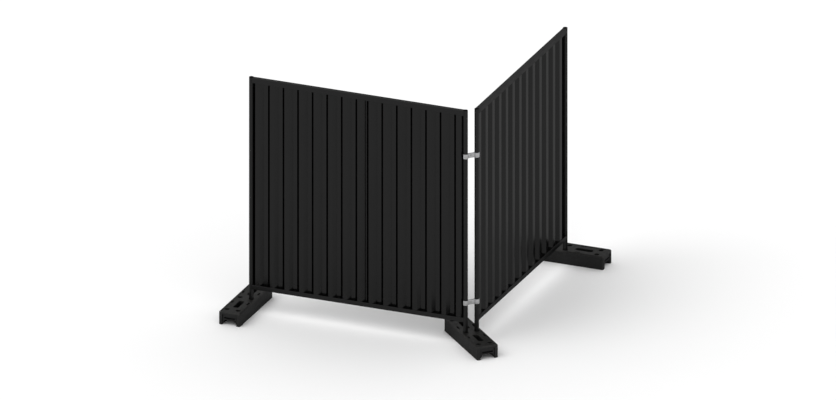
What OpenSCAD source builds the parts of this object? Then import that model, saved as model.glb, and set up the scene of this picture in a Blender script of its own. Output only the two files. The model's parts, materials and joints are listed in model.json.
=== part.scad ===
// Steel hoarding fence: two framed sheet panels at a right angle, standing in three block feet.
// +X runs along the left panel towards the corner, +Y along the right panel away from it, +Z up.
// The origin is the middle of the corner foot's underside. All sizes are in millimetres.

/* [Panel] */
// Overall width of one panel, over both stiles
panel_w = 2160; // [1700:10:2700]
// Height of the frame, from the underside of the bottom rail to the top of the stiles
panel_h = 2085; // [1600:5:2600]
// Clear height of the legs between the feet and the bottom rail
leg_clear = 98; // [60:1:160]

/* [Stiles] */
// Outside diameter of the stile tube
stile_d = 42; // [34:0.5:50]
// Wall of the stile tube
stile_wall = 2; // [1.5:0.5:4]
// Thickness of the cap that shows above the stile
cap_t = 3; // [2:0.5:6]
// Depth of the cap's plug inside the stile
cap_plug_h = 18; // [10:1:40]

/* [Rails] */
// Height of the top rail's box section
top_rail_h = 50; // [30:1:70]
// Height of the bottom rail's box section
bottom_rail_h = 42; // [30:1:70]
// Depth of both rails, front to back
rail_t = 40; // [34:1:50]
// Wall of the rails' box section
rail_wall = 1.5; // [1:0.5:4]

/* [Sheets] */
// Thickness of the sheet steel
sheet_t = 0.6; // [0.5:0.1:1.5]
// Depth of the ribs, front to back
rib_depth = 30; // [20:1:34]
// Run of one sloping flank along the panel
rib_flank = 30; // [15:1:40]
// Width of a left panel ridge
left_ridge_w = 44; // [25:1:50]
// Width of a right panel ridge
right_ridge_w = 57; // [35:1:60]
// Ribs in the left panel's outer sheet
left_outer_ribs = 8; // [5:1:8]
// Ribs in the left panel's corner sheet
left_corner_ribs = 7; // [4:1:7]
// Ribs in the right panel's corner sheet
right_corner_ribs = 7; // [4:1:7]
// Ribs in the right panel's outer sheet
right_outer_ribs = 6; // [4:1:6]
// Width of the short valley where the left panel's two sheets lap
left_lap_w = 8; // [6:1:20]
// Width of the flat strip that ends the right panel by its outer stile
right_end_w = 69; // [20:1:90]
// How far a lapped sheet reaches on behind its neighbour's last flank
lap_tuck = 10; // [4:1:14]

/* [Feet] */
// Length of a foot
foot_l = 790; // [700:5:900]
// Width of a foot
foot_w = 210; // [200:5:260]
// Height of a foot
foot_h = 130; // [115:5:170]
// Radius of a foot's upright corners
foot_corner_r = 16; // [8:1:24]
// Bevel along a foot's top edges
foot_bevel = 9; // [4:1:12]
// Width of the raised rim round a foot's top
foot_rim_w = 16; // [13:1:18]
// Depth of the top inside the rim
foot_rim_h = 4; // [2:1:8]
// Bore of the leg sockets
socket_d = 46; // [43:0.5:50]
// Distance between the two sockets of a pair, across the foot
socket_pitch = 110; // [100:1:120]
// Distance from the foot's middle to its end pairs of sockets
socket_row = 310; // [290:5:330]
// Rubber left under the sockets in the middle of the foot
socket_floor = 20; // [10:1:30]
// Depth of the end sockets below the rim's floor
end_socket_h = 58; // [20:1:60]
// Length of a hand hole
hand_l = 170; // [100:2:180]
// Width of a hand hole
hand_w = 50; // [40:1:56]
// Distance from the foot's middle to the middle of a hand hole
hand_x = 165; // [135:1:175]
// Length of a drain slot
slot_l = 56; // [30:1:60]
// Width of a drain slot
slot_w = 15; // [8:1:16]
// Depth of a drain slot
slot_h = 30; // [10:1:60]
// Distance from the foot's middle to the middle of a drain slot
slot_x = 128; // [110:1:160]
// Distance from the foot's centre line to the middle of a drain slot
slot_y = 76; // [73:1:77]
// Length of the arch under each end of a foot
arch_l = 118; // [60:1:150]
// Width of the arch at the ground
arch_w = 140; // [100:1:150]
// Height of the arch
arch_h = 50; // [30:1:54]
// Run of the arch's sloping sides
arch_slope = 22; // [5:1:40]
// Depth of the recess in a foot's end faces
end_recess = 6; // [2:1:12]

/* [Couplers] */
// Height of a coupler's jaws
jaw_h = 45; // [30:1:60]
// Plate thickness of the jaws
jaw_t = 4; // [3:0.5:6]
// Gap between the front jaw and the back jaw
jaw_gap = 8; // [4:1:16]
// How much narrower the back jaw is than the distance between the stile axes
back_jaw_gap = 24; // [18:1:40]
// Middle of the upper coupler below the top of the stiles
upper_drop = 450; // [200:10:700]
// Middle of the lower coupler above the bottom rail's underside
lower_rise = 190; // [100:5:400]
// Shank diameter of the coupler bolt
bolt_d = 10; // [8:1:12]
// Width across flats of the bolt head and the nut
bolt_af = 17; // [16:1:19]
// Height of the bolt head
bolt_head_h = 6.5; // [5:0.5:9]
// Height of the nut
nut_h = 8; // [6:0.5:12]
// Diameter of the nut's flange
nut_flange_d = 22; // [20:0.5:26]
// Thickness of the nut's flange
nut_flange_t = 2; // [1:0.5:3]
// Length of thread that shows past the nut
bolt_end = 5; // [2:1:15]

/* [Hidden] */
// Clearance between round faces that seat on each other
fit_gap = 0.3;
// Clearance between a lapped sheet's edge and its neighbour's flank
lap_gap = 0.5;
// Length that a cut runs past the face it opens
over = 1;
round_fn = 64;

span = panel_w - stile_d;                    // between a panel's two stile axes
leg_off = socket_pitch / 2 * sqrt(1 / 2);    // corner legs from the origin, along X and Y
frame_z = foot_h + leg_clear;                // underside of the bottom rail
frame_top = frame_z + panel_h;
sheet_z = frame_z + bottom_rail_h;
sheet_h = panel_h - bottom_rail_h - top_rail_h;
socket_mouth = foot_h - foot_rim_h;
rim_corner_r = foot_corner_r / 2;            // inside corners of the rim
hand_corner_r = hand_w / 3;
slot_corner_r = slot_w / 3;
cap_bevel = cap_t / 2;

ridge_y = -rib_depth / 2;
valley_y = rib_depth / 2;
lapped_y = valley_y + sheet_t;               // valley of a sheet that lies behind its neighbour
slope = atan2(rib_depth, rib_flank);         // a flank's angle to the panel
mitre = sheet_t * tan(slope / 2);            // side step of a bend's back face

// Where a flat edge at depth y meets the round stile, measured from the stile's axis
function edge(y) = sqrt(pow(stile_d / 2 + fit_gap, 2) - pow(y, 2));

// Where a flank's foot at depth y stands, so that the flank clears the stile too
function flank_edge(y) = max(edge(y), (stile_d / 2 + fit_gap - y * cos(slope)) / sin(slope));

// The left panel: both sheets end on a flank, and a short valley is left for the lap
left_rib_w = left_ridge_w + 2 * rib_flank;
left_pitches = left_outer_ribs + left_corner_ribs - 2;
left_clear_w = span - flank_edge(valley_y) - flank_edge(lapped_y);
left_pitch = (left_clear_w - left_lap_w - 2 * left_rib_w) / left_pitches;
left_lap_start = flank_edge(valley_y) + (left_outer_ribs - 1) * left_pitch + left_rib_w;
left_lap_end = left_lap_start + left_lap_w;

// The right panel: it starts on a cut ridge by the corner and ends on a flat strip
right_pitches = right_corner_ribs + right_outer_ribs - 1;
right_first_x = edge(ridge_y + sheet_t);
right_clear_w = span - right_first_x - edge(lapped_y);
right_pitch = (right_clear_w - right_ridge_w - rib_flank - right_end_w) / right_pitches;
right_lap_start = right_first_x + (right_corner_ribs - 1) * right_pitch + right_ridge_w + rib_flank;
right_lap_end = right_first_x + right_corner_ribs * right_pitch - rib_flank;

coupler_jaw_r = stile_d / 2 + fit_gap;
jaw_face = jaw_gap / 2 + jaw_t;              // outer face of a jaw's web, from the coupler's middle

paint = [0.10, 0.10, 0.11];
plastic = [0.05, 0.05, 0.05];
rubber = [0.16, 0.16, 0.16];
zinc = [0.70, 0.71, 0.72];

// ---- places: a panel is drawn along +X from its first stile's axis, with its front towards -Y

module on_left_panel() {
    translate([-leg_off - span, -leg_off, 0]) children();
}

module on_right_panel() {
    translate([leg_off, leg_off, 0]) rotate([0, 0, 90]) children();
}

// A coupler is drawn with the two stiles at +-socket_pitch/2 along X and its front towards -Y
module on_coupler(z) {
    translate([0, 0, z]) rotate([0, 0, 45]) children();
}

module on_upper_coupler() {
    on_coupler(frame_top - upper_drop) children();
}

module on_lower_coupler() {
    on_coupler(frame_z + lower_rise) children();
}

// ---- frame

module stile() {
    color(paint)
        translate([0, 0, socket_floor])
            difference() {
                cylinder(d = stile_d, h = frame_top - socket_floor, $fn = round_fn);
                translate([0, 0, -over])
                    cylinder(d = stile_d - 2 * stile_wall, h = frame_top + 2 * over, $fn = round_fn);
            }
}

module stile_cap() {
    color(plastic)
        translate([0, 0, frame_top]) {
            cylinder(d = stile_d, h = cap_t - cap_bevel, $fn = round_fn);
            translate([0, 0, cap_t - cap_bevel])
                cylinder(d1 = stile_d, d2 = stile_d - 2 * cap_bevel, h = cap_bevel, $fn = round_fn);
            translate([0, 0, -cap_plug_h])
                cylinder(d = stile_d - 2 * stile_wall - 2 * fit_gap, h = cap_plug_h, $fn = round_fn);
        }
}

// A box section whose ends are coped round the two stiles
module rail(z, height) {
    color(paint)
        translate([0, 0, z])
            difference() {
                translate([0, -rail_t / 2, 0]) cube([span, rail_t, height]);
                translate([-over, rail_wall - rail_t / 2, rail_wall])
                    cube([span + 2 * over, rail_t - 2 * rail_wall, height - 2 * rail_wall]);
                for (x = [0, span])
                    translate([x, 0, -over])
                        cylinder(d = stile_d + 2 * fit_gap, h = height + 2 * over, $fn = round_fn);
            }
}

module top_rail() {
    rail(frame_top - top_rail_h, top_rail_h);
}

module bottom_rail() {
    rail(frame_z, bottom_rail_h);
}

// ---- sheets

// The four bends of a rib whose ridge starts at x: place along the panel, depth, side of the mitre
function rib_bends(x, ridge_w) = [
    [x - rib_flank, valley_y, 1],
    [x, ridge_y, 1],
    [x + ridge_w, ridge_y, -1],
    [x + ridge_w + rib_flank, valley_y, -1]
];

// A trapezoidal sheet with a rib at each listed ridge start. It runs from its first edge to its
// last, which stand in for the bends of the first and last rib that it lacks.
module sheet(first, last, ridges, ridge_w, lacks_first = 0, lacks_last = 0) {
    all_bends = [for (x = ridges) each rib_bends(x, ridge_w)];
    bends = [for (i = [lacks_first : len(all_bends) - 1 - lacks_last]) all_bends[i]];
    line = concat(
        [[first, lacks_first == 2 ? ridge_y : valley_y, 0]],
        bends,
        [[last, valley_y, 0]]
    );
    front = [for (p = line) [p[0], p[1]]];
    back = [for (i = [len(line) - 1 : -1 : 0]) [line[i][0] + line[i][2] * mitre, line[i][1] + sheet_t]];
    color(paint)
        translate([0, 0, sheet_z])
            linear_extrude(sheet_h)
                polygon(concat(front, back));
}

module left_outer_sheet() {
    first = flank_edge(valley_y);
    ridges = [for (i = [0 : left_outer_ribs - 1]) first + rib_flank + i * left_pitch];
    sheet(first, left_lap_end - lap_gap, ridges, left_ridge_w, lacks_first = 1);
}

module left_corner_sheet() {
    last = span - flank_edge(lapped_y);
    ridges = [for (i = [0 : left_corner_ribs - 1]) left_lap_end + rib_flank + i * left_pitch];
    translate([0, sheet_t, 0])
        sheet(left_lap_start - lap_tuck, last, ridges, left_ridge_w, lacks_last = 1);
}

module right_corner_sheet() {
    ridges = [for (i = [0 : right_corner_ribs - 1]) right_first_x + i * right_pitch];
    sheet(right_first_x, right_lap_end - lap_gap, ridges, right_ridge_w, lacks_first = 2);
}

module right_outer_sheet() {
    n = right_corner_ribs;
    ridges = [for (i = [n : n + right_outer_ribs - 1]) right_first_x + i * right_pitch];
    translate([0, sheet_t, 0])
        sheet(right_lap_start - lap_tuck, span - edge(lapped_y), ridges, right_ridge_w);
}

// ---- feet: a foot is drawn with its length along X and its middle on the Z axis

module rounded_plan(l, w, r) {
    square([l - 2 * r, w], center = true);
    square([l, w - 2 * r], center = true);
    for (x = [-1, 1], y = [-1, 1])
        translate([x * (l / 2 - r), y * (w / 2 - r)]) circle(r = r, $fn = round_fn);
}

// Upright outline of a foot, bevelled along its top edges
module bevelled_outline(l) {
    polygon([
        [-l / 2, 0], [l / 2, 0],
        [l / 2, foot_h - foot_bevel], [l / 2 - foot_bevel, foot_h],
        [foot_bevel - l / 2, foot_h], [-l / 2, foot_h - foot_bevel]
    ]);
}

module foot_body() {
    intersection() {
        linear_extrude(foot_h) rounded_plan(foot_l, foot_w, foot_corner_r);
        rotate([90, 0, 0])
            translate([0, 0, -foot_w / 2]) linear_extrude(foot_w) bevelled_outline(foot_l);
        rotate([90, 0, 90])
            translate([0, 0, -foot_l / 2]) linear_extrude(foot_l) bevelled_outline(foot_w);
    }
}

module leg_sockets() {
    for (side = [-1, 1]) {
        translate([0, side * socket_pitch / 2, socket_floor])
            cylinder(d = socket_d, h = foot_h, $fn = round_fn);
        for (x = [-socket_row, socket_row])
            translate([x, side * socket_pitch / 2, socket_mouth - end_socket_h])
                cylinder(d = socket_d, h = foot_h, $fn = round_fn);
    }
}

// A hand hole goes right through, so that the foot can be gripped and carried
module hand_holes() {
    for (x = [-hand_x, hand_x])
        translate([x, 0, -over])
            linear_extrude(foot_h + 2 * over) rounded_plan(hand_l, hand_w, hand_corner_r);
}

module drain_slots() {
    for (x = [-slot_x, slot_x], y = [-slot_y, slot_y])
        translate([x, y, socket_mouth - slot_h])
            linear_extrude(foot_h) rounded_plan(slot_l, slot_w, slot_corner_r);
}

// The arch under an end lets water past and fingers under the foot
module end_arches() {
    half = arch_w / 2;
    for (turn = [0, 180])
        rotate([0, 0, turn])
            translate([foot_l / 2 - arch_l, 0, 0])
                rotate([90, 0, 90])
                    linear_extrude(arch_l + over)
                        polygon([
                            [-half, -over], [half, -over], [half, 0],
                            [half - arch_slope, arch_h], [arch_slope - half, arch_h], [-half, 0]
                        ]);
}

module end_recesses() {
    h = foot_h - foot_bevel - foot_rim_w;
    for (turn = [0, 180])
        rotate([0, 0, turn])
            translate([foot_l / 2 - end_recess, -arch_w / 2, -over])
                cube([end_recess + over, arch_w, h + over]);
}

module foot() {
    color(rubber)
        difference() {
            foot_body();
            translate([0, 0, socket_mouth])
                linear_extrude(foot_rim_h + over)
                    rounded_plan(foot_l - 2 * foot_rim_w, foot_w - 2 * foot_rim_w, rim_corner_r);
            leg_sockets();
            hand_holes();
            drain_slots();
            end_arches();
            end_recesses();
        }
}

module left_foot() {
    translate([-leg_off - span - socket_pitch / 2, -leg_off, 0]) rotate([0, 0, 90]) foot();
}

module corner_foot() {
    rotate([0, 0, -45]) foot();
}

module right_foot() {
    translate([leg_off, leg_off + span + socket_pitch / 2, 0]) foot();
}

// ---- couplers

// One jaw, w wide: two cups round the stiles and a web with the bolt hole between them
module jaw(w) {
    color(zinc)
        difference() {
            translate([0, 0, -jaw_h / 2])
                linear_extrude(jaw_h)
                    difference() {
                        union() {
                            for (x = [-socket_pitch / 2, socket_pitch / 2])
                                translate([x, 0]) circle(r = coupler_jaw_r + jaw_t, $fn = round_fn);
                            translate([-socket_pitch / 2, -jaw_face]) square([socket_pitch, jaw_t]);
                        }
                        for (x = [-socket_pitch / 2, socket_pitch / 2])
                            translate([x, 0]) circle(r = coupler_jaw_r, $fn = round_fn);
                        translate([-socket_pitch, -jaw_gap / 2]) square([2 * socket_pitch, socket_pitch]);
                        for (x = [-w / 2 - socket_pitch, w / 2])
                            translate([x, -socket_pitch / 2]) square([socket_pitch, socket_pitch]);
                    }
            rotate([90, 0, 0])
                cylinder(d = bolt_d + 2 * fit_gap, h = socket_pitch, $fn = round_fn);
        }
}

// The front jaw reaches round both stiles
module front_jaw() {
    jaw(socket_pitch + 2 * (coupler_jaw_r + jaw_t));
}

// The back jaw bears on the stiles' inner quarters, clear of the sheets' edges
module back_jaw() {
    rotate([0, 0, 180]) jaw(socket_pitch - back_jaw_gap);
}

module hexagon(height) {
    cylinder(d = bolt_af / cos(30), h = height, $fn = 6);
}

module bolt() {
    color(zinc)
        translate([0, -jaw_face, 0])
            rotate([-90, 0, 0]) {
                translate([0, 0, -bolt_head_h]) hexagon(bolt_head_h);
                cylinder(d = bolt_d, h = 2 * jaw_face + nut_h + bolt_end, $fn = round_fn);
            }
}

module nut() {
    color(zinc)
        translate([0, jaw_face, 0])
            rotate([-90, 0, 0])
                difference() {
                    union() {
                        hexagon(nut_h);
                        cylinder(d = nut_flange_d, h = nut_flange_t, $fn = round_fn);
                    }
                    translate([0, 0, -over])
                        cylinder(d = bolt_d + 2 * fit_gap, h = nut_h + 2 * over, $fn = round_fn);
                }
}

on_left_panel() stile();  // left_outer_stile
on_left_panel() translate([span, 0, 0]) stile();  // left_corner_stile
on_left_panel() top_rail();  // left_top_rail
on_left_panel() bottom_rail();  // left_bottom_rail
on_left_panel() left_outer_sheet();
on_left_panel() left_corner_sheet();
on_left_panel() stile_cap();  // left_outer_cap
on_left_panel() translate([span, 0, 0]) stile_cap();  // left_corner_cap
on_right_panel() translate([span, 0, 0]) stile();  // right_outer_stile
on_right_panel() stile();  // right_corner_stile
on_right_panel() top_rail();  // right_top_rail
on_right_panel() bottom_rail();  // right_bottom_rail
on_right_panel() right_outer_sheet();
on_right_panel() right_corner_sheet();
on_right_panel() translate([span, 0, 0]) stile_cap();  // right_outer_cap
on_right_panel() stile_cap();  // right_corner_cap
left_foot();
corner_foot();
right_foot();
on_upper_coupler() front_jaw();  // upper_front_jaw
on_upper_coupler() back_jaw();  // upper_back_jaw
on_upper_coupler() bolt();  // upper_bolt
on_upper_coupler() nut();  // upper_nut
on_lower_coupler() front_jaw();  // lower_front_jaw
on_lower_coupler() back_jaw();  // lower_back_jaw
on_lower_coupler() bolt();  // lower_bolt
on_lower_coupler() nut();  // lower_nut
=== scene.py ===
import json
import math

import bmesh
import bpy
from mathutils import Matrix, Vector

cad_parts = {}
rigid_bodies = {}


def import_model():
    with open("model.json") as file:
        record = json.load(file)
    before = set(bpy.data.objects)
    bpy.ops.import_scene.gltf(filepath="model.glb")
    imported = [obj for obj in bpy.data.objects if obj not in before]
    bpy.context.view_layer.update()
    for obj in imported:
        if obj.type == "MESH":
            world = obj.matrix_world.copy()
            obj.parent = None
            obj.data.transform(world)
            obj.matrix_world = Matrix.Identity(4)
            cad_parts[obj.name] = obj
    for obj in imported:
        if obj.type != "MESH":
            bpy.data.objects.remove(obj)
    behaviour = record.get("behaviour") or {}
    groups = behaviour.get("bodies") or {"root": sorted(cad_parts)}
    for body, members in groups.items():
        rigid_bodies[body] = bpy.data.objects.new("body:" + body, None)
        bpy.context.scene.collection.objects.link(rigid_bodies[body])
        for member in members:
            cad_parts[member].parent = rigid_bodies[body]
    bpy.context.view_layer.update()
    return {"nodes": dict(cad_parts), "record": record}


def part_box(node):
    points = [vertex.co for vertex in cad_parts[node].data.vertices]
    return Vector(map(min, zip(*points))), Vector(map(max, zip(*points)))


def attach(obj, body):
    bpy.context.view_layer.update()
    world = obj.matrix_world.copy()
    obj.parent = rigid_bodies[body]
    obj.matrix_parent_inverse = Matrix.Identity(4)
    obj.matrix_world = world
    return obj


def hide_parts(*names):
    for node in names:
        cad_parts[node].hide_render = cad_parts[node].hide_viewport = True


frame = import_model()

MM = 0.001

# Stiles, rails and caps
STILE_WALL = 2 * MM
STILE_SIDES = 96
COPE_GAP = 0.3 * MM
RAIL_WALL = 1.5 * MM
RAIL_CORNER = 3.5 * MM
CAP_EDGE = 1.4 * MM
CAP_DOME = 0.5 * MM
CAP_LIP = 0.3 * MM
CAP_STEPS = 6

# Sheets
SHEET_T = 0.6 * MM
BEND_R = 3 * MM
TACK_L = 20 * MM
RIVET_PITCH = 300 * MM

# Welds: the beads round the rails' ends and the tacks along the sheets' ends
BEAD_R = 2.3 * MM
BEAD_STEP = 2.1 * MM
TACK_R = 1.6 * MM
TACK_STEP = 1.8 * MM

# Feet; the cutters of their hollows reach past the block by CUTTER_REACH
CUTTER_REACH = 10 * MM
FOOT_CORNER = 16 * MM
FOOT_BEVEL = 9 * MM
FOOT_EDGE = 1.1 * MM
DECK_DRAFT = 2 * MM
DECK_CORNER = 8 * MM
DECK_TOP_CORNER = 9 * MM
RIM_W = 16 * MM
RIM_H = 4 * MM
MOUTH_FLARE = 3 * MM
SOCKET_FLOOR = 20 * MM
END_SOCKET_H = 58 * MM
HAND_L = 170 * MM
HAND_W = 50 * MM
HAND_X = 165 * MM
SLOT_L = 56 * MM
SLOT_W = 15 * MM
SLOT_H = 30 * MM
SLOT_X = 128 * MM
SLOT_Y = 76 * MM
ARCH_L = 118 * MM
ARCH_W = 140 * MM
ARCH_H = 50 * MM
ARCH_SLOPE = 22 * MM
ARCH_ROUND = 12 * MM
ARCH_STEPS = 6
END_RECESS = 6 * MM
GROOVE_W = 7 * MM
GROOVE_DEPTH = 16 * MM
GRIP_DEPTH = 30 * MM
GRIP_W = 108 * MM
GRIP_LOW = 59 * MM
GRIP_HIGH = 78 * MM
SOCKET_SIDES = 48

# The painted highlight and the wear of boots on a foot's top fade in between these heights
HIGHLIGHT_AND_TREAD_LOW = 108 * MM
HIGHLIGHT_AND_TREAD_HIGH = 124 * MM

# Couplers
JAW_T = 4 * MM
JAW_GAP = 8 * MM
JAW_FILLET = 5 * MM
JAW_EDGE = 0.7 * MM
BACK_JAW_GAP = 24 * MM
BOLT_R = 5 * MM
BOLT_AF = 17 * MM
BOLT_HEAD_H = 6.5 * MM
NUT_H = 8 * MM
NUT_FLANGE_R = 11 * MM
NUT_FLANGE_T = 2 * MM
BOLT_END = 5 * MM
TIP_CHAMFER = 1.2 * MM
NUT_COUNTERSINK = 0.8 * MM
THREAD_PITCH = 1.5 * MM
CUP_STEPS = 26
FILLET_STEPS = 8
BOLT_SIDES = 60

SMOOTH_ANGLE = math.radians(32)

# A dark-tinted clear coat over the black surfaces paints shade on them, darkening them, the more so where
# they are seen at a glancing angle
GLANCING_SHADE_TINT = 0.63
RUBBER_GLANCING_SHADE_TINT = 0.76
SHADE_COAT_IOR = 1.01

# Colours of what has settled on the finishes; the boot dust on the feet's tops also carries a painted
# highlight
FRAME_DUST = (0.016, 0.0145, 0.012, 1)
SPLASHED_SOIL = (0.010, 0.009, 0.0075, 1)
GROUND_DUST = (0.022, 0.020, 0.017, 1)
BOOT_DUST_AND_HIGHLIGHT = (0.024, 0.023, 0.021, 1)

# Stage, light and camera
FLOOR_TONE = 0.92
FLOOR_HALF = 40
KEY_LIGHT = 0.6
KEY_TOWARDS = Vector((0.55, 0.62, -1.0))
VIEW_AZIMUTH = math.radians(22.45)
VIEW_ELEVATION = math.radians(22.2)
VIEW_WIDTH = 7.637
VIEW_RIGHT = -0.4856
VIEW_UP = 1.3157
VIEW_DISTANCE = 12


# ---- node work shared by the finishes and the Geometry Nodes trees

def add_node(tree, kind, settings, sockets):
    """Adds one node: its settings first, then the values or links of its inputs."""
    node = tree.nodes.new(kind)
    for key, value in settings.items():
        setattr(node, key, value)
    for key, value in sockets.items():
        if isinstance(value, Value):
            value = value.socket
        if isinstance(value, bpy.types.NodeSocket):
            tree.links.new(value, node.inputs[key])
        else:
            node.inputs[key].default_value = value
    return node


class Value:
    """A shader socket that takes part in Python sums."""

    def __init__(self, tree, socket):
        self.tree = tree
        self.socket = socket

    def math(self, operation, a, b=0.0):
        node = add_node(self.tree, "ShaderNodeMath", {"operation": operation}, {0: a, 1: b})
        return Value(self.tree, node.outputs[0])

    def __add__(self, other):
        return self.math("ADD", self, other)

    def __radd__(self, other):
        return self.math("ADD", other, self)

    def __mul__(self, other):
        return self.math("MULTIPLY", self, other)

    def __rmul__(self, other):
        return self.math("MULTIPLY", other, self)


class Finish:
    """A material in the making: its main shader and the nodes that feed it."""

    def __init__(self, name):
        self.material = bpy.data.materials.new(name)
        self.material.use_nodes = True
        self.tree = self.material.node_tree
        self.shader = self.tree.nodes["Principled BSDF"]
        self.place = self.node("ShaderNodeTexCoord", {}, {}, "Object")

    def node(self, kind, settings, sockets, output=0):
        return Value(self.tree, add_node(self.tree, kind, settings, sockets).outputs[output])

    def stretched(self, x, y, z):
        return self.node("ShaderNodeMapping", {}, {"Vector": self.place, "Scale": (x, y, z)})

    def noise(self, scale, detail=2.0, place=None):
        sockets = {"Vector": place or self.place, "Scale": scale, "Detail": detail}
        return self.node("ShaderNodeTexNoise", {}, sockets, "Fac")

    def cells(self, scale, output, feature="F1"):
        settings = {"feature": feature}
        return self.node("ShaderNodeTexVoronoi", settings, {"Vector": self.place, "Scale": scale}, output)

    def height(self):
        return self.node("ShaderNodeSeparateXYZ", {}, {"Vector": self.place}, "Z")

    def grey(self, colour):
        return self.node("ShaderNodeRGBToBW", {}, {"Color": colour})

    def between(self, value, low, high, start=0.0, end=1.0):
        sockets = {"Value": value, "From Min": low, "From Max": high, "To Min": start, "To Max": end}
        return self.node("ShaderNodeMapRange", {"interpolation_type": "SMOOTHSTEP"}, sockets)

    def mix(self, factor, a, b):
        settings = {"data_type": "RGBA"}
        return self.node("ShaderNodeMix", settings, {"Factor": factor, 6: a, 7: b}, 2)

    def bump(self, height, depth, strength=1.0):
        sockets = {"Height": height, "Distance": depth, "Strength": strength}
        return self.node("ShaderNodeBump", {}, sockets, "Normal")

    def finished(self, **sockets):
        """Links or sets the shader's inputs, named with _ for each space."""
        for key, value in sockets.items():
            socket = self.shader.inputs[key.replace("_", " ")]
            if isinstance(value, Value):
                self.tree.links.new(value.socket, socket)
            else:
                socket.default_value = value
        return self.material

    def with_glancing_shade(self, tint=GLANCING_SHADE_TINT, **sockets):
        """Finishes a black surface, with a dark-tinted clear coat over it that paints shade, the more so at
        a glancing angle.
        """
        return self.finished(Coat_Weight=1.0, Coat_IOR=SHADE_COAT_IOR, Coat_Tint=tone(tint), **sockets)


def tone(level, blue=1.0):
    """A near-neutral colour of the given brightness."""
    return (level, level, level * blue, 1.0)


# ---- finishes

def coated_frame():
    """Satin black powder coat with orange peel, faint clouding, rub marks and dust low down."""
    coat = Finish("painted_frame")
    cloud = coat.noise(9, 4)
    peel = coat.noise(380, 2)
    grain = coat.noise(1500, 1)
    rub_lines = coat.noise(60, 3, coat.stretched(1, 1, 14))
    rubs = coat.between(rub_lines, 0.66, 0.74) * coat.between(coat.noise(3.1, 2), 0.5, 0.62)
    dust = coat.between(coat.height(), 0.36, 0.12) * coat.between(coat.noise(14, 5), 0.35, 0.75)
    black = coat.mix(cloud, tone(0.0012), tone(0.0026))
    rubbed = coat.mix(rubs * 0.6, black, tone(0.012))
    dusty = coat.mix(dust * 0.25, rubbed, FRAME_DUST)
    rough = 0.36 + coat.between(cloud, 0.3, 0.7) * 0.08 + rubs * 0.16 + dust * 0.12
    relief = coat.bump(peel + grain * 0.25, 0.16 * MM, 0.35)
    return coat.with_glancing_shade(Base_Color=dusty, Roughness=rough, Normal=relief, Specular_IOR_Level=0.4)


def coated_weld():
    """The same coat over a weld bead, uneven and rougher."""
    coat = Finish("painted_weld")
    spatter = coat.cells(700, "Distance")
    scale = coat.noise(260, 4)
    black = coat.mix(scale, tone(0.001), tone(0.006))
    rough = 0.42 + scale * 0.2
    relief = coat.bump(scale + spatter * 0.3, 0.3 * MM, 0.5)
    return coat.with_glancing_shade(Base_Color=black, Roughness=rough, Normal=relief, Specular_IOR_Level=0.4)


def coated_sheet():
    """Smooth black coil coat with rolling lines, slight waves, rain marks and splashed soil."""
    coat = Finish("painted_sheet")
    lines = coat.noise(170, 2, coat.stretched(1, 1, 0.02))
    streaks = coat.noise(34, 4, coat.stretched(1, 1, 0.05))
    waves = coat.noise(3.2, 1, coat.stretched(1, 1, 0.5))
    film = coat.noise(640, 2)
    cloud = coat.noise(5, 3)
    marks = coat.between(streaks, 0.52, 0.8) * coat.between(cloud, 0.35, 0.65)
    splash = coat.between(coat.height(), 0.62, 0.27) * coat.between(coat.noise(22, 6), 0.45, 0.75)
    black = coat.mix(cloud, tone(0.0007), tone(0.0015))
    marked = coat.mix(marks * 0.5, black, tone(0.0032))
    splashed = coat.mix(splash * 0.2, marked, SPLASHED_SOIL)
    rough = 0.19 + coat.between(cloud, 0.3, 0.7) * 0.04 + marks * 0.06 + splash * 0.1
    relief = coat.bump(waves * 14 + lines * 0.35 + film * 0.2, 0.12 * MM, 0.5)
    return coat.with_glancing_shade(Base_Color=splashed, Roughness=rough, Normal=relief, Specular_IOR_Level=0.4)


def cap_plastic():
    """Moulded black cap with a fine spark-eroded grain."""
    moulded = Finish("stile_cap")
    grain = moulded.noise(1800, 2)
    cloud = moulded.noise(90, 3)
    black = moulded.mix(cloud, tone(0.0008), tone(0.003))
    rough = 0.6 + cloud * 0.15
    relief = moulded.bump(grain, 0.12 * MM, 0.4)
    return moulded.with_glancing_shade(Base_Color=black, Roughness=rough, Normal=relief, Specular_IOR_Level=0.12)


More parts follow.
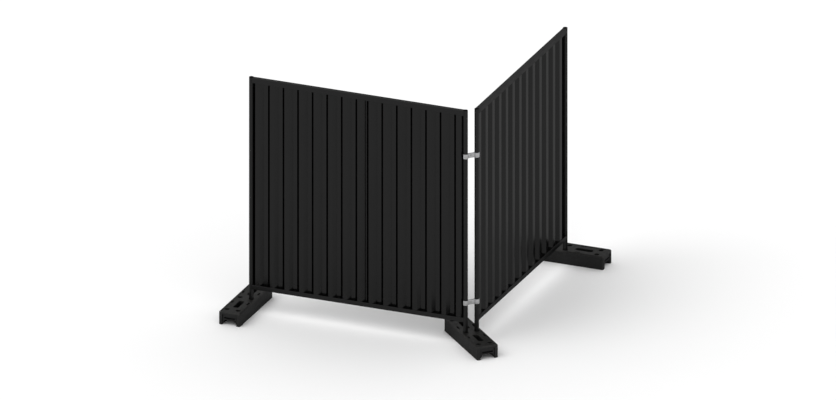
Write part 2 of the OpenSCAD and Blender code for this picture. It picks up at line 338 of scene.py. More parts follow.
def granule_rubber():
    """Recycled rubber granules pressed in a mould, dusty at the ground, with painted shade in its pits, and
    painted paler on top: a painted highlight together with boot dust.
    """
    rubber = Finish("foot_rubber")
    granules = rubber.cells(330, "Distance")
    tints = rubber.grey(rubber.cells(330, "Color"))
    pits = rubber.between(rubber.noise(120, 4), 0.62, 0.72)
    scuffs = rubber.between(rubber.noise(26, 5), 0.56, 0.7)
    dust = rubber.between(rubber.height(), 0.05, 0.0) * rubber.between(rubber.noise(40, 5), 0.4, 0.65)
    mottle = rubber.between(rubber.noise(105, 3), 0.44, 0.62)
    black = rubber.mix(tints * 0.5 + mottle * 0.5, tone(0.0022), tone(0.0150))
    # The pits, sunk by the bump, are painted darker: painted shade in them
    pits_with_painted_shade = rubber.mix(pits * 0.8, black, tone(0.0006))
    scuffed = rubber.mix(scuffs * 0.5, pits_with_painted_shade, tone(0.020))
    dusty = rubber.mix(dust * 0.3, scuffed, GROUND_DUST)
    # The top is painted paler: a painted highlight, mixed with boot dust
    top = rubber.between(rubber.height(), HIGHLIGHT_AND_TREAD_LOW, HIGHLIGHT_AND_TREAD_HIGH)
    highlight_and_treads = top * rubber.between(rubber.noise(48, 6), 0.3, 0.72)
    lit_and_trodden = rubber.mix(highlight_and_treads, dusty, BOOT_DUST_AND_HIGHLIGHT)
    rough = 0.5 + tints * 0.16 + scuffs * 0.12 + dust * 0.1
    relief = rubber.bump(granules * 0.7 + pits * -1.2, 0.6 * MM, 0.6)
    # The rubber gets a lighter tint of the same painted shade
    return rubber.with_glancing_shade(
        RUBBER_GLANCING_SHADE_TINT, Base_Color=lit_and_trodden, Roughness=rough, Normal=relief, Specular_IOR_Level=0.32)


def spangled_zinc():
    """Hot-dip galvanised plate: crystal spangle, dull bloom and faint runs."""
    zinc = Finish("zinc_plate")
    spangle = zinc.grey(zinc.cells(150, "Color"))
    fine = zinc.grey(zinc.cells(420, "Color"))
    edges = zinc.cells(150, "Distance", "DISTANCE_TO_EDGE")
    bloom = zinc.between(zinc.noise(38, 5), 0.42, 0.72)
    runs = zinc.noise(120, 3, zinc.stretched(1, 1, 0.15))
    bright = zinc.mix(spangle * 0.7 + fine * 0.3, tone(0.30, 1.02), tone(0.46, 1.02))
    bloomed = zinc.mix(bloom * 0.55, bright, tone(0.36, 0.98))
    rough = 0.36 + spangle * 0.12 + bloom * 0.16 + runs * 0.08
    relief = zinc.bump(fine * 0.4 + runs + edges * 1.5, 0.1 * MM, 0.4)
    return zinc.finished(Base_Color=bloomed, Roughness=rough, Normal=relief, Metallic=1.0)


def plated_fixing():
    """Zinc plate on the bolts and nuts, clouded and finely marked."""
    zinc = Finish("zinc_fixing")
    cloud = zinc.noise(140, 4)
    marks = zinc.noise(900, 2)
    plate = zinc.mix(cloud, tone(0.26, 0.97), tone(0.42, 1.0))
    rough = 0.3 + cloud * 0.2
    relief = zinc.bump(marks, 0.06 * MM, 0.4)
    return zinc.finished(Base_Color=plate, Roughness=rough, Normal=relief, Metallic=1.0)


# ---- mesh work

def skin(loops, wrap=False):
    """Skins equal loops of points; the ends are closed, or joined to each other."""
    bm = bmesh.new()
    rings = [[bm.verts.new(point) for point in loop] for loop in loops]
    pairs = list(zip(rings, rings[1:]))
    if wrap:
        pairs.append((rings[-1], rings[0]))
    else:
        bm.faces.new(reversed(rings[0]))
        bm.faces.new(rings[-1])
    for lower, upper in pairs:
        for i, corner in enumerate(lower):
            bm.faces.new((lower[i - 1], corner, upper[i], upper[i - 1]))
    return bm


def circle(radius, z, count=STILE_SIDES):
    """A level circle round the Z axis."""
    angles = [math.tau * i / count for i in range(count)]
    return [(radius * math.cos(a), radius * math.sin(a), z) for a in angles]


def rounded_box(length, width, radius, per_corner=8, per_side=1):
    """A rectangle with round corners, as points in a plane, with so many steps a corner and a side."""
    half_l = length / 2 - radius
    half_w = width / 2 - radius
    rounds = []
    for cx, cy, start in ((1, 1, 0), (-1, 1, 90), (-1, -1, 180), (1, -1, 270)):
        for k in range(per_corner + 1):
            a = math.radians(start + 90 * k / per_corner)
            rounds.append(Vector((cx * half_l + radius * math.cos(a), cy * half_w + radius * math.sin(a))))
    points = []
    for i, point in enumerate(rounds):
        points.append(point)
        if (i + 1) % (per_corner + 1) == 0:
            after = rounds[(i + 1) % len(rounds)]
            points += [point.lerp(after, k / per_side) for k in range(1, per_side)]
    return points


def level(points, z):
    """Points of a plane as a loop at height z."""
    return [(p[0], p[1], z) for p in points]


def as_object(bm, name, material, turn=None):
    """Turns mesh work into an object at the origin, with its place in its mesh."""
    bmesh.ops.recalc_face_normals(bm, faces=bm.faces)
    mesh = bpy.data.meshes.new(name)
    bm.to_mesh(mesh)
    bm.free()
    return mesh_object(mesh, name, material, turn)


def shade(mesh):
    mesh.shade_smooth()
    mesh.set_sharp_from_angle(angle=SMOOTH_ANGLE)


def mesh_object(mesh, name, material, turn=None):
    if turn:
        mesh.transform(turn)
    mesh.materials.clear()
    mesh.materials.append(material)
    shade(mesh)
    obj = bpy.data.objects.new(name, mesh)
    bpy.context.scene.collection.objects.link(obj)
    return obj


def applied(obj):
    """The object's mesh with its modifiers worked in."""
    evaluated = obj.evaluated_get(bpy.context.evaluated_depsgraph_get())
    return bpy.data.meshes.new_from_object(evaluated)


def add_soft_edges(obj, width, degrees):
    """Adds a modifier that rounds the edges that turn by more than so many degrees."""
    bevel = obj.modifiers.new("soft_edges", "BEVEL")
    bevel.width = width
    bevel.segments = 2
    bevel.limit_method = "ANGLE"
    bevel.angle_limit = math.radians(degrees)
    return bevel


def soften(obj, width, degrees=35):
    """Rounds the object's sharp edges and keeps the result."""
    bevel = add_soft_edges(obj, width, degrees)
    mesh = applied(obj)
    obj.modifiers.remove(bevel)
    obj.data = mesh
    shade(mesh)


def fitted(obj, slot, *nodes):
    """Makes a piece part of the fence, standing for the named CAD nodes."""
    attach(obj, "root")
    if nodes:
        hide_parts(*nodes)


def corners(node):
    low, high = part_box(node)
    return Vector(low), Vector(high)


def middle(node):
    low, high = corners(node)
    return (low + high) / 2


# ---- Geometry Nodes trees

class Tree:
    """A Geometry Nodes tree with named inputs, which ends in realised, painted geometry."""

    def __init__(self, name, **inputs):
        self.group = bpy.data.node_groups.new(name, "GeometryNodeTree")
        self.ids = {}
        interface = self.group.interface
        interface.new_socket("Geometry", in_out="INPUT", socket_type="NodeSocketGeometry")
        for label, default in inputs.items():
            kind = "NodeSocketInt" if isinstance(default, int) else "NodeSocketFloat"
            socket = interface.new_socket(label, in_out="INPUT", socket_type=kind)
            socket.default_value = default
            self.ids[label] = socket.identifier
        interface.new_socket("Geometry", in_out="OUTPUT", socket_type="NodeSocketGeometry")
        self.inputs = self.group.nodes.new("NodeGroupInput").outputs

    def node(self, kind, settings, sockets, output=0):
        return add_node(self.group, kind, settings, sockets).outputs[output]

    def end(self, geometry, material):
        smooth = self.node("GeometryNodeSetShadeSmooth", {}, {"Geometry": geometry})
        real = self.node("GeometryNodeRealizeInstances", {}, {"Geometry": smooth})
        painted = self.node("GeometryNodeSetMaterial", {}, {"Geometry": real, "Material": material})
        add_node(self.group, "NodeGroupOutput", {}, {"Geometry": painted})

    def grown(self, bm, name, material, turn=None, **values):
        """Runs the tree on mesh work and keeps the result as a plain mesh."""
        mesh = bpy.data.meshes.new(name)
        bm.to_mesh(mesh)
        bm.free()
        source = bpy.data.objects.new(name + "_source", mesh)
        bpy.context.scene.collection.objects.link(source)
        modifier = source.modifiers.new(name, "NODES")
        modifier.node_group = self.group
        for label, value in values.items():
            modifier[self.ids[label]] = value
        result = applied(source)
        bpy.data.objects.remove(source)
        return mesh_object(result, name, material, turn)


def weld_tree(material):
    """A rippled bead along every edge of the source: one flattened ball a ripple."""
    tree = Tree("weld_bead", radius=2.2 * MM, step=2 * MM, seed=4)
    given = tree.inputs
    curve = tree.node("GeometryNodeMeshToCurve", {}, {"Mesh": given["Geometry"]})
    spaced = tree.node(
        "GeometryNodeResampleCurve", {"mode": "LENGTH"}, {"Curve": curve, "Length": given["step"]})
    ball = tree.node("GeometryNodeMeshUVSphere", {}, {"Segments": 8, "Rings": 6, "Radius": given["radius"]})
    along = tree.node("GeometryNodeInputTangent", {}, {})
    turned = tree.node("FunctionNodeAlignRotationToVector", {"axis": "Z"}, {"Vector": along})
    sizes = tree.node(
        "FunctionNodeRandomValue", {"data_type": "FLOAT_VECTOR"},
        {0: (0.86, 0.86, 0.62), 1: (1.1, 1.1, 0.8), "Seed": given["seed"]})
    beads = tree.node(
        "GeometryNodeInstanceOnPoints", {},
        {"Points": spaced, "Instance": ball, "Rotation": turned, "Scale": sizes})
    tree.end(beads, material)
    return tree


def rivet_tree(material):
    """A domed blind rivet head at each vertex of the source."""
    tree = Tree("blind_rivet", radius=3.2 * MM, rise=0.45)
    given = tree.inputs
    head = tree.node("GeometryNodeMeshUVSphere", {}, {"Segments": 16, "Rings": 8, "Radius": given["radius"]})
    scale = tree.node("ShaderNodeCombineXYZ", {}, {"X": 1.0, "Y": given["rise"], "Z": 1.0})
    heads = tree.node(
        "GeometryNodeInstanceOnPoints", {}, {"Points": given["Geometry"], "Instance": head, "Scale": scale})
    tree.end(heads, material)
    return tree


def thread_tree(material):
    """A screw thread round the Z axis: a three-sided ridge swept along a spiral."""
    tree = Tree("screw_thread", radius=BOLT_R, length=BOLT_END, turns=3.0, ridge=0.6 * MM, fineness=32)
    given = tree.inputs
    spiral = tree.node("GeometryNodeCurveSpiral", {}, {
        "Resolution": given["fineness"], "Rotations": given["turns"],
        "Start Radius": given["radius"], "End Radius": given["radius"], "Height": given["length"]})
    ridge = tree.node(
        "GeometryNodeCurvePrimitiveCircle", {"mode": "RADIUS"}, {"Resolution": 3, "Radius": given["ridge"]})
    swept = tree.node(
        "GeometryNodeCurveToMesh", {}, {"Curve": spiral, "Profile Curve": ridge, "Fill Caps": True})
    tree.end(swept, material)
    return tree


# ---- the two framed panels

class Panel:
    """A panel's own axes: X along it from its first stile, its front towards -Y."""

    def __init__(self, side, first, last):
        start = middle(first)
        along = middle(last) - start
        self.side = side
        self.first = first
        self.last = last
        self.span = along.length
        angle = math.atan2(along.y, along.x)
        self.turn = Matrix.Translation((start.x, start.y, 0)) @ Matrix.Rotation(angle, 4, "Z")


LEFT = Panel("left", "left_outer_stile", "left_corner_stile")
RIGHT = Panel("right", "right_corner_stile", "right_outer_stile")
stile_low, stile_high = corners("left_outer_stile")
STILE_R = (stile_high.x - stile_low.x) / 2
COPE_R = STILE_R + COPE_GAP


def make_stile(node, material):
    """A round tube, open at both ends."""
    centre = middle(node)
    turn = Matrix.Translation((centre.x, centre.y, 0))
    low, high = stile_low.z, stile_high.z
    bore = STILE_R - STILE_WALL
    edge = 0.4 * MM
    loops = [
        circle(STILE_R - edge, low), circle(STILE_R, low + edge), circle(STILE_R, high - edge),
        circle(STILE_R - edge, high), circle(bore, high), circle(bore, low)]
    obj = as_object(skin(loops, wrap=True), node.replace("stile", "stile_tube"), material, turn)
    fitted(obj, "painted_frame", node)


def make_cap(node, material):
    """A cap with a plug inside the tube, a rounded edge and a slightly domed top."""
    low, high = corners(node)
    centre = (low + high) / 2
    turn = Matrix.Translation((centre.x, centre.y, 0))
    seat = stile_high.z + 0.05 * MM
    plug = STILE_R - STILE_WALL - COPE_GAP
    loops = [circle(plug - 0.8 * MM, low.z), circle(plug, low.z + 1.5 * MM), circle(plug, seat)]
    loops.append(circle(STILE_R - CAP_LIP, seat))
    for k in range(CAP_STEPS + 1):
        a = math.radians(90 * k / CAP_STEPS)
        rise = high.z - CAP_DOME - CAP_EDGE + CAP_EDGE * math.sin(a)
        loops.append(circle(STILE_R - CAP_EDGE + CAP_EDGE * math.cos(a), rise))
    flat = STILE_R - CAP_EDGE
    for k in range(1, CAP_STEPS + 1):
        share = 1 - k / (CAP_STEPS + 0.5)
        loops.append(circle(flat * share, high.z - CAP_DOME * share ** 2))
    fitted(as_object(skin(loops), node.replace("cap", "end_cap"), material, turn), "stile_cap", node)


def cope(y):
    """How far from a stile's axis a rail or a bead ends, at depth y."""
    return math.sqrt(COPE_R ** 2 - y ** 2)


def rail_section(node, inset):
    """The rail's cross-section as (depth, height) points, inset from its outer faces."""
    low, high = corners(node)
    depth = min(high.x - low.x, high.y - low.y) - 2 * inset
    tall = high.z - low.z - 2 * inset
    ring = rounded_box(depth, tall, RAIL_CORNER - inset, per_corner=5, per_side=14)
    return [(y, z + (low.z + high.z) / 2) for y, z in ring]


def make_rail(panel, part, material):
    """A box tube whose ends are coped round the stiles."""
    node = f"{panel.side}_{part}"
    outer = rail_section(node, 0)
    inner = rail_section(node, RAIL_WALL)

    def ends(section, at_last):
        return [(panel.span - cope(y) if at_last else cope(y), y, z) for y, z in section]

    loops = [ends(outer, False), ends(outer, True), ends(inner, True), ends(inner, False)]
    obj = as_object(skin(loops, wrap=True), node + "_section", material, panel.turn)
    fitted(obj, "painted_frame", node)


def sheet_line(panel, node):
    """The corners of the sheet's front face along the panel, read from its node's mesh."""
    inverse = panel.turn.inverted()
    spots = [inverse @ v.co for v in frame["nodes"][node].data.vertices]
    near = min(s.y for s in spots)
    far = max(s.y for s in spots) - SHEET_T
    fronts = [(s.x, y) for s in spots for y in (near, far) if abs(s.y - y) < SHEET_T / 4]
    line = []
    for x, y in sorted(fronts):
        if not line or x - line[-1].x > BEND_R / 2:
            line.append(Vector((x, y)))
    return line


def bent(line, steps=6):
    """Gives a line of corners its bend radii: (point, way to the back) along the front face."""
    stations = []
    for i, corner in enumerate(line):
        before = (corner - line[i - 1]).normalized() if i else None
        after = (line[i + 1] - corner).normalized() if i + 1 < len(line) else None
        way = before or after
        back = Vector((-way.y, way.x))
        if not (before and after):
            stations.append((corner, back))
            continue
        angle = math.atan2(before.cross(after), before.dot(after))
        side = math.copysign(1, angle)
        radius = BEND_R + SHEET_T if side > 0 else BEND_R
        start = corner - before * radius * math.tan(abs(angle) / 2)
        centre = start + back * side * radius
        for k in range(steps + 1):
            normal = Matrix.Rotation(angle * k / steps, 2) @ back
            stations.append((centre - normal * side * radius, normal))
    return stations


def make_sheet(panel, part, material):
    """One trapezoidal sheet, bent along its corners."""
    node = f"{panel.side}_{part}"
    low, high = corners(node)
    loops = []
    for front, normal in bent(sheet_line(panel, node)):
        rear = front + normal * SHEET_T
        loops.append([(*front, low.z), (*front, high.z), (*rear, high.z), (*rear, low.z)])
    obj = as_object(skin(loops), node + "_formed", material, panel.turn)
    fitted(obj, "painted_sheet", node)


def add_line(bm, points, closed=False):
    verts = [bm.verts.new(p) for p in points]
    for a, b in zip(verts, verts[1:]):
        bm.edges.new((a, b))
    if closed:
        bm.edges.new((verts[-1], verts[0]))


def make_frame_welds(panel, tree, material):
    """A bead all round each end of both rails."""
    bm = bmesh.new()
    for part in ("top_rail", "bottom_rail"):
        section = rail_section(f"{panel.side}_{part}", 0)
        add_line(bm, [(cope(y), y, z) for y, z in section], closed=True)
        add_line(bm, [(panel.span - cope(y), y, z) for y, z in section], closed=True)
    name = panel.side + "_frame_welds"
    obj = tree.grown(bm, name, material, panel.turn, radius=BEAD_R, step=BEAD_STEP)
    fitted(obj, "painted_frame")


def flats(line):
    """The middles of a sheet's flats: (place along the panel, depth, on a ridge)."""
    near = min(p.y for p in line)
    pairs = [(a, b) for a, b in zip(line, line[1:]) if abs(a.y - b.y) < MM]
    return [((a.x + b.x) / 2, a.y, a.y == near) for a, b in pairs]


def make_sheet_welds(panel, parts, tree, material):
    """Tack welds where the valleys meet the rails in front and the ridges meet them behind."""
    bm = bmesh.new()
    for part in parts:
        node = f"{panel.side}_{part}"
        low, high = corners(node)
        for x, y, ridge in flats(sheet_line(panel, node)):
            face = y + SHEET_T if ridge else y
            for z in (low.z, high.z):
                add_line(bm, [(x - TACK_L / 2, face, z), (x + TACK_L / 2, face, z)])
    name = panel.side + "_sheet_welds"
    obj = tree.grown(bm, name, material, panel.turn, radius=TACK_R, step=TACK_STEP, seed=9)
    fitted(obj, "painted_sheet")


def make_lap_rivets(panel, part, tree, material):
    """Blind rivets down the last valley of the sheet that laps over the other one."""
    node = f"{panel.side}_{part}"
    low, high = corners(node)
    line = sheet_line(panel, node)
    x = (line[-1].x + line[-2].x) / 2
    y = line[-1].y
    count = round((high.z - low.z) / RIVET_PITCH)
    pitch = (high.z - low.z) / count
    bm = bmesh.new()
    for i in range(count):
        bm.verts.new((x, y, low.z + (i + 0.5) * pitch))
    obj = tree.grown(bm, panel.side + "_lap_rivets", material, panel.turn)
    fitted(obj, "painted_sheet")


# ---- feet

foot_low, foot_high = corners("right_foot")
FOOT_L = foot_high.x - foot_low.x
FOOT_W = foot_high.y - foot_low.y
FOOT_H = foot_high.z
DECK = FOOT_H - RIM_H
RECESS_H = FOOT_H - FOOT_BEVEL - RIM_W
mounts = {m["name"]: m for m in frame["record"]["mounts"]}
SOCKET_R = mounts["right_foot_socket"]["dims"]["r_mm"] * MM
SOCKET_ROW = abs(mounts["right_foot_front_outer_socket"]["pos_m"][0] - middle("right_foot").x)
SOCKET_PITCH = (middle("left_corner_stile") - middle("right_corner_stile")).length


def flared(points_at, low, mouth, top, flare=MOUTH_FLARE):
    """A cutter that widens at its mouth; points_at gives its outline, grown by a distance."""
    return skin([
        level(points_at(0), low), level(points_at(0), mouth - flare),
        level(points_at(flare / 3), mouth - flare / 2), level(points_at(flare), mouth),
        level(points_at(flare), top)])


def moved(bm, x, y):
    """The same mesh work, shifted level."""
    bmesh.ops.translate(bm, verts=bm.verts, vec=(x, y, 0))
    return bm


def foot_cutters():
    """The sunk deck, the sockets, hand holes and slots in it, and the hollows of both ends."""
    clear = FOOT_H + CUTTER_REACH
    below = -CUTTER_REACH
    deck_l = FOOT_L - 2 * RIM_W
    deck_w = FOOT_W - 2 * RIM_W
    yield skin([
        level(rounded_box(deck_l - DECK_DRAFT, deck_w - DECK_DRAFT, DECK_CORNER), DECK),
        level(rounded_box(deck_l, deck_w, DECK_CORNER), DECK + MM),
        level(rounded_box(deck_l + DECK_DRAFT, deck_w + DECK_DRAFT, DECK_TOP_CORNER), FOOT_H),
        level(rounded_box(deck_l + DECK_DRAFT, deck_w + DECK_DRAFT, DECK_TOP_CORNER), clear)])

    def socket(grow):
        return [(p[0], p[1]) for p in circle(SOCKET_R + grow, 0, SOCKET_SIDES)]

    def hand(grow):
        return rounded_box(HAND_L + 2 * grow, HAND_W + 2 * grow, HAND_W / 3 + grow)

    def slot(grow):
        return rounded_box(SLOT_L + 2 * grow, SLOT_W + 2 * grow, SLOT_W / 3 + grow)

    for side in (-1, 1):
        y = side * SOCKET_PITCH / 2
        yield moved(flared(socket, SOCKET_FLOOR, DECK, clear), 0, y)
        for end in (-1, 1):
            yield moved(flared(socket, DECK - END_SOCKET_H, DECK, clear), end * SOCKET_ROW, y)
            yield moved(flared(slot, DECK - SLOT_H, DECK, clear, 1.5 * MM), end * SLOT_X, side * SLOT_Y)
    for end in (-1, 1):
        yield moved(flared(hand, below, DECK, clear), end * HAND_X, 0)
        yield end_arch(end)
        yield end_recess(end)
        for side in (-1, 1):
            yield end_groove(end, side)
        yield grip_slot(end)


def end_arch(end):
    """The arch under one end: sloping sides, with the top corners rounded."""
    half = ARCH_W / 2
    outline = [Vector((-half, -CUTTER_REACH)), Vector((-half, 0)), Vector((ARCH_SLOPE - half, ARCH_H))]
    outline += [Vector((-p.x, p.y)) for p in reversed(outline)]
    points = []
    for i, corner in enumerate(outline):
        if corner.y < ARCH_H:
            points.append(corner)
            continue
        before = (corner - outline[i - 1]).normalized()
        after = (outline[(i + 1) % len(outline)] - corner).normalized()
        start = corner - before * ARCH_ROUND / 2
        finish = corner + after * ARCH_ROUND / 2
        for k in range(ARCH_STEPS + 1):
            t = k / ARCH_STEPS
            points.append(start * (1 - t) ** 2 + corner * 2 * t * (1 - t) + finish * t ** 2)
    inner = end * (FOOT_L / 2 - ARCH_L)
    outer = end * (FOOT_L / 2 + CUTTER_REACH)
    return skin([[(x, p.x, p.y) for p in points] for x in (inner, outer)])


def end_recess(end):
    """The shallow recess in one end face, with drafted sides."""
    face = end * FOOT_L / 2
    loops = []
    for depth, grow in ((END_RECESS, -2 * MM), (0, 0), (-CUTTER_REACH, 0)):
        ring = rounded_box(ARCH_W + 2 * grow, 2 * (RECESS_H + grow), 6 * MM)
        loops.append([(face - end * depth, y, z) for y, z in ring])
    return skin(loops)


def end_groove(end, side):
    """The upright groove between an end face's recess and its rim."""
    face = end * FOOT_L / 2
    y = side * (ARCH_W - GROOVE_W) / 2
    loops = []
    for depth, narrow in ((GROOVE_DEPTH, 1.5 * MM), (-CUTTER_REACH, 0)):
        ring = rounded_box(GROOVE_W - narrow, 2 * (RECESS_H - narrow), 2 * MM)
        loops.append([(face - end * depth, y + a, z) for a, z in ring])
    return skin(loops)


def grip_slot(end):
    """The finger slot over the arch, with a lip left below it."""
    face = end * FOOT_L / 2
    middle_z = (GRIP_LOW + GRIP_HIGH) / 2
    loops = []
    for depth, grow in ((GRIP_DEPTH, -2 * MM), (0, 0), (-CUTTER_REACH, 0)):
        ring = rounded_box(GRIP_W + 2 * grow, GRIP_HIGH - GRIP_LOW + 2 * grow, 5 * MM)
        loops.append([(face - end * depth, y, middle_z + z) for y, z in ring])
    return skin(loops)


def foot_block():
    """The solid block: round upright corners, a bevelled top edge and a small foot chamfer."""
    def ring(inset, z):
        return level(rounded_box(FOOT_L - 2 * inset, FOOT_W - 2 * inset, FOOT_CORNER - inset), z)

    chamfer = 2 * MM
    turn_in = 1.6 * MM
    shoulder = FOOT_H - FOOT_BEVEL
    return skin([
        ring(chamfer, 0), ring(0, chamfer), ring(0, shoulder - turn_in),
        ring(0.3 * MM, shoulder + 0.2 * MM), ring(1.2 * MM, shoulder + 1.4 * MM),
        ring(FOOT_BEVEL - 1.2 * MM, FOOT_H - 1.2 * MM), ring(FOOT_BEVEL, FOOT_H - 0.3 * MM),
        ring(FOOT_BEVEL + turn_in, FOOT_H)])


def moulded_foot(material):
    """One foot's mesh: the block, cut by every hollow, with its edges rounded."""
    body = as_object(foot_block(), "foot_body", material)
    hollows = bpy.data.collections.new("foot_hollows")
    for i, cutter in enumerate(foot_cutters()):
        obj = as_object(cutter, f"foot_hollow_{i}", material)
        bpy.context.scene.collection.objects.unlink(obj)
        hollows.objects.link(obj)
    bpy.context.scene.collection.children.link(hollows)
    cut = body.modifiers.new("hollows", "BOOLEAN")
    cut.operation = "DIFFERENCE"
    cut.operand_type = "COLLECTION"
    cut.collection = hollows
    cut.solver = "EXACT"
    add_soft_edges(body, FOOT_EDGE, degrees=40)
    mesh = applied(body)
    for obj in list(hollows.objects) + [body]:
        bpy.data.objects.remove(obj)
    bpy.data.collections.remove(hollows)
    return mesh


def make_feet(material):
    mesh = moulded_foot(material)
    for node, degrees in (("left_foot", 90), ("corner_foot", -45), ("right_foot", 0)):
        centre = middle(node)
        place = Matrix.Translation((centre.x, centre.y, 0))
        turn = place @ Matrix.Rotation(math.radians(degrees), 4, "Z")
        fitted(mesh_object(mesh.copy(), node + "_block", material, turn), "foot_rubber", node)


# ---- couplers

def coupler_turn(name):
    """A coupler's own axes: X from stile to stile, its front towards -Y."""
    left, right = middle("left_corner_stile"), middle("right_corner_stile")
    centre = (left + right) / 2
    along = right - left
    place = Matrix.Translation((centre.x, centre.y, middle(name + "_front_jaw").z))
    return place @ Matrix.Rotation(math.atan2(along.y, along.x), 4, "Z")


def jaw_path(cup_start):
    """The middle of the bent plate, from the left cup's free end to where the flat web starts."""
    radius = COPE_R + JAW_T / 2
    web_y = -(JAW_GAP + JAW_T) / 2
    cup_x = -SOCKET_PITCH / 2
    fillet_y = web_y - JAW_FILLET
    run = math.sqrt((radius + JAW_FILLET) ** 2 - fillet_y ** 2)
    meet = math.atan2(fillet_y, run)
    path = []
    for k in range(CUP_STEPS + 1):
        a = cup_start + (meet - cup_start) * k / CUP_STEPS
        path.append(Vector((cup_x + radius * math.cos(a), radius * math.sin(a))))
    for k in range(1, FILLET_STEPS + 1):
        a = math.pi + meet + (math.pi / 2 - math.pi - meet) * k / FILLET_STEPS
        path.append(Vector((cup_x + run + JAW_FILLET * math.cos(a), fillet_y + JAW_FILLET * math.sin(a))))
    return path


def make_jaw(name, front, material):
    """One bent plate of a coupler, with a cup for each stile."""
    node = f"{name}_{'front' if front else 'back'}_jaw"
    low, high = corners(node)
    half_h = (high.z - low.z) / 2
    radius = COPE_R + JAW_T / 2
    if front:
        cup_start = math.asin(JAW_GAP / 2 / radius) - math.pi
    else:
        cup_start = -math.acos(BACK_JAW_GAP / 2 / radius)
    half = jaw_path(cup_start)
    path = half + [Vector((-p.x, p.y)) for p in reversed(half)]
    loops = []
    for i, p in enumerate(path):
        way = (path[min(i + 1, len(path) - 1)] - path[max(i - 1, 0)]).normalized()
        side = Vector((-way.y, way.x)) * JAW_T / 2
        a, b = p - side, p + side
        loops.append([(*a, -half_h), (*a, half_h), (*b, half_h), (*b, -half_h)])
    turn = coupler_turn(name)
    if not front:
        turn = turn @ Matrix.Rotation(math.pi, 4, "Z")
    obj = as_object(skin(loops), node + "_plate", material, turn)
    soften(obj, JAW_EDGE)
    fitted(obj, "zinc_plate", node)


def hex_ring(z, limit):
    """A hexagon's outline of the bolt's size, worn back to a circle where the limit is smaller."""
    ring = []
    for i in range(BOLT_SIDES):
        a = math.tau * i / BOLT_SIDES
        across = BOLT_AF / 2 / math.cos((a + math.pi / 6) % (math.pi / 3) - math.pi / 6)
        r = min(across, limit)
        ring.append((r * math.cos(a), r * math.sin(a), z))
    return ring


def chamfered_hexagon(low, high):
    """Loops of a hexagon from low to high, with the turned chamfer at its high end."""
    corner = BOLT_AF / 2 / math.cos(math.pi / 6)
    face_r = BOLT_AF / 2 * 0.94
    slope = math.tan(math.radians(30))
    loops = [hex_ring(low, corner)]
    for drop in (1.3, 0.9, 0.5, 0.2, 0.0):
        loops.append(hex_ring(high - drop * MM, face_r + drop * MM / slope))
    return loops


def turned(*steps):
    """Loops of a turned piece, one at each (radius, height)."""
    return [circle(radius, z, BOLT_SIDES) for radius, z in steps]


def make_bolt(name, threads, material):
    """Head, shank and thread, along the coupler's front-to-back axis."""
    face = JAW_GAP / 2 + JAW_T
    turn = coupler_turn(name) @ Matrix.Rotation(math.radians(90), 4, "X")
    head = chamfered_hexagon(face, face + BOLT_HEAD_H)
    tip = -(face + NUT_H + BOLT_END)
    core = BOLT_R - 0.5 * MM
    shank = turned(
        (core - TIP_CHAMFER, tip), (core, tip + TIP_CHAMFER), (core, -face),
        (BOLT_R, -face + 0.5 * MM), (BOLT_R, face))
    obj = as_object(skin(shank + head), name + "_hex_bolt", material, turn)
    fitted(obj, "zinc_fixing", name + "_bolt")
    run = NUT_H + BOLT_END - MM
    start = turn @ Matrix.Translation((0, 0, tip + 0.8 * MM))
    thread = threads.grown(
        bmesh.new(), name + "_bolt_thread", material, start,
        radius=core, length=run, turns=run / THREAD_PITCH, ridge=0.5 * MM)
    fitted(thread, "zinc_fixing")


def make_nut(name, material):
    """The flange nut behind the back jaw, with its bore left open round the bolt."""
    face = JAW_GAP / 2 + JAW_T
    turn = coupler_turn(name) @ Matrix.Rotation(math.radians(-90), 4, "X")
    bore = BOLT_R + 0.1 * MM
    top = face + NUT_H
    flange = turned(
        (NUT_FLANGE_R - 0.3 * MM, face), (NUT_FLANGE_R, face + 0.4 * MM),
        (NUT_FLANGE_R, face + 1.1 * MM), (NUT_FLANGE_R - 0.9 * MM, face + NUT_FLANGE_T))
    hole = turned((bore + NUT_COUNTERSINK, top), (bore, top - NUT_COUNTERSINK), (bore, face))
    loops = flange + chamfered_hexagon(face + NUT_FLANGE_T, top) + hole
    obj = as_object(skin(loops, wrap=True), name + "_flange_nut", material, turn)
    fitted(obj, "zinc_fixing", name + "_nut")


# ---- stage, light and camera

def make_world():
    world = bpy.data.worlds.new("studio")
    bpy.context.scene.world = world
    world.use_nodes = True
    background = world.node_tree.nodes["Background"]
    background.inputs["Color"].default_value = tone(1.0)
    background.inputs["Strength"].default_value = 1.0


def make_floor():
    bm = bmesh.new()
    bmesh.ops.create_grid(bm, x_segments=4, y_segments=4, size=FLOOR_HALF)
    surface = Finish("studio_floor")
    speckle = surface.noise(40, 3)
    paint = surface.mix(speckle, tone(FLOOR_TONE - 0.01), tone(FLOOR_TONE + 0.01))
    surface.finished(Base_Color=paint, Roughness=0.95, Specular_IOR_Level=0.0)
    as_object(bm, "floor", surface.material)


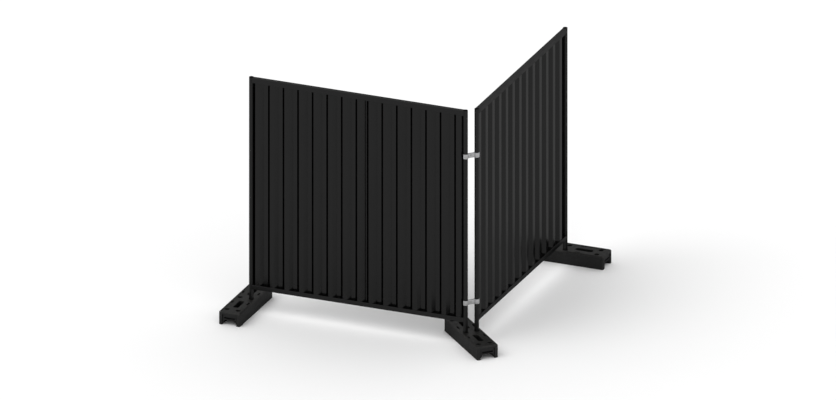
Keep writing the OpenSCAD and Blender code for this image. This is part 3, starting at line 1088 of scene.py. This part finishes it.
def make_key_light():
    data = bpy.data.lights.new("key_light", "SUN")
    data.energy = KEY_LIGHT
    data.angle = math.radians(35)
    lamp = bpy.data.objects.new("key_light", data)
    bpy.context.scene.collection.objects.link(lamp)
    lamp.rotation_euler = KEY_TOWARDS.to_track_quat("-Z", "Y").to_euler()


def make_camera():
    """A parallel view from the front, turned to the right and from above."""
    right = Vector((math.cos(VIEW_AZIMUTH), math.sin(VIEW_AZIMUTH), 0))
    back = Vector((right.y, -right.x, 0)) * math.cos(VIEW_ELEVATION)
    back.z = math.sin(VIEW_ELEVATION)
    up = back.cross(right)
    data = bpy.data.cameras.new("camera")
    data.type = "ORTHO"
    data.ortho_scale = VIEW_WIDTH
    data.clip_end = 60
    camera = bpy.data.objects.new("camera", data)
    bpy.context.scene.collection.objects.link(camera)
    place = right * VIEW_RIGHT + up * VIEW_UP + back * VIEW_DISTANCE
    axes = Matrix((right, up, back)).transposed().to_4x4()
    camera.matrix_world = Matrix.Translation(place) @ axes
    bpy.context.scene.camera = camera


def build_fence():
    frame_coat = coated_frame()
    sheet_coat = coated_sheet()
    weld_coat = coated_weld()
    cap_finish = cap_plastic()
    plate_zinc = spangled_zinc()
    fixing_zinc = plated_fixing()
    welds = weld_tree(weld_coat)
    rivets = rivet_tree(sheet_coat)
    threads = thread_tree(fixing_zinc)
    for panel in (LEFT, RIGHT):
        for node in (panel.first, panel.last):
            make_stile(node, frame_coat)
            make_cap(node.replace("stile", "cap"), cap_finish)
        for part in ("top_rail", "bottom_rail"):
            make_rail(panel, part, frame_coat)
        for part in ("outer_sheet", "corner_sheet"):
            make_sheet(panel, part, sheet_coat)
        make_frame_welds(panel, welds, weld_coat)
        make_sheet_welds(panel, ("outer_sheet", "corner_sheet"), welds, weld_coat)
    make_lap_rivets(LEFT, "outer_sheet", rivets, sheet_coat)
    make_lap_rivets(RIGHT, "corner_sheet", rivets, sheet_coat)
    make_feet(granule_rubber())
    for name in ("upper", "lower"):
        make_jaw(name, True, plate_zinc)
        make_jaw(name, False, plate_zinc)
        make_bolt(name, threads, fixing_zinc)
        make_nut(name, fixing_zinc)


build_fence()
make_floor()
make_world()
make_key_light()
make_camera()
bpy.context.scene.view_settings.view_transform = "Standard"
